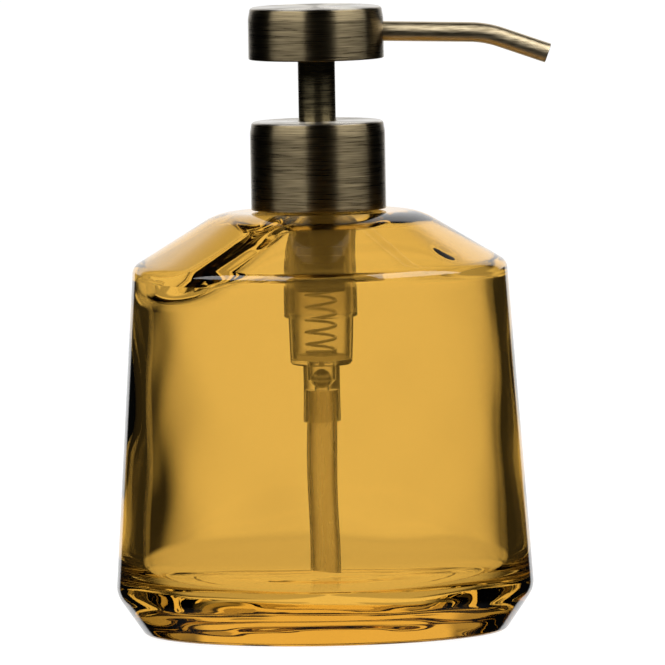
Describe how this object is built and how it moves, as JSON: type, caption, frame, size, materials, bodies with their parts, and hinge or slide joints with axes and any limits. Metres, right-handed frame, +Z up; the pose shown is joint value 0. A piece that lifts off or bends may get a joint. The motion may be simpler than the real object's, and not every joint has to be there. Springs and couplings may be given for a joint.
{
  "type": "soap pump dispenser",
  "caption": "Round heavy glass bottle with a screw-on metal collar and a press-down pump head with a bent tube spout.",
  "frame": {"origin": "centre of the ring that the bottle stands on", "axes": "+Z up along the bottle's and the pump's common axis, +X from the axis towards the spout at rest, +Y by the right-hand rule"},
  "size_m": [0.1051, 0.0988, 0.1484],
  "materials": {
    "amber_glass": "clear amber glass, fire-polished",
    "antique_brass": "dark antique brass, brushed round the axis",
    "dark_plastic": "moulded",
    "clear_plastic": "translucent natural polypropylene",
    "white_plastic": "moulded polyethylene",
    "gasket_rubber": "matt",
    "stainless": "bright drawn"
  },
  "bodies": {
    "bottle": {"bottle": "amber_glass"},
    "pump": {"neck_gasket": "gasket_rubber", "pump_housing": "clear_plastic", "guide_bush": "dark_plastic", "spring_seat": "white_plastic", "dip_tube": "clear_plastic", "return_spring": "stainless"},
    "collar": {"collar_shell": "antique_brass", "collar_insert": "dark_plastic"},
    "inlet_valve": {"inlet_ball": "stainless"},
    "piston_ring": {"piston": "dark_plastic"},
    "plunger": {"stem": "dark_plastic", "piston_seat": "dark_plastic", "outlet_cage": "white_plastic", "stem_tube": "antique_brass", "head_boss": "dark_plastic", "head_shell": "antique_brass", "head_base": "antique_brass", "spout": "antique_brass"},
    "outlet_valve": {"outlet_ball": "stainless"}
  },
  "joints": [
    {"name": "pump_rise", "type": "slide", "parent": "bottle", "child": "pump", "axis": [0, 0, 1], "range_m": [0, 0.00635]},
    {"name": "collar_turn", "type": "hinge", "parent": "pump", "child": "collar", "pos_m": [0, 0, 0.11], "axis": [0, 0, 1], "range_deg": [0, 540]},
    {"name": "inlet_ball_lift", "type": "slide", "parent": "pump", "child": "inlet_valve", "axis": [0, 0, 1], "range_m": [0, 0.0012]},
    {"name": "press", "type": "slide", "parent": "pump", "child": "piston_ring", "axis": [0, 0, -1], "range_m": [0, 0.014], "stiffness_N_per_m": 700, "springref_m": -0.0115, "deforming": ["return_spring"]},
    {"name": "head_turn", "type": "hinge", "parent": "piston_ring", "child": "plunger", "pos_m": [0, 0, 0.12], "axis": [0, 0, 1], "continuous": true},
    {"name": "outlet_ball_lift", "type": "slide", "parent": "plunger", "child": "outlet_valve", "axis": [0, 0, 1], "range_m": [0, 0.0012]}
  ],
  "couplings": [
    {"joint": "collar_turn", "follows": "pump_rise", "rad_per_m": 1484.2}
  ]
}
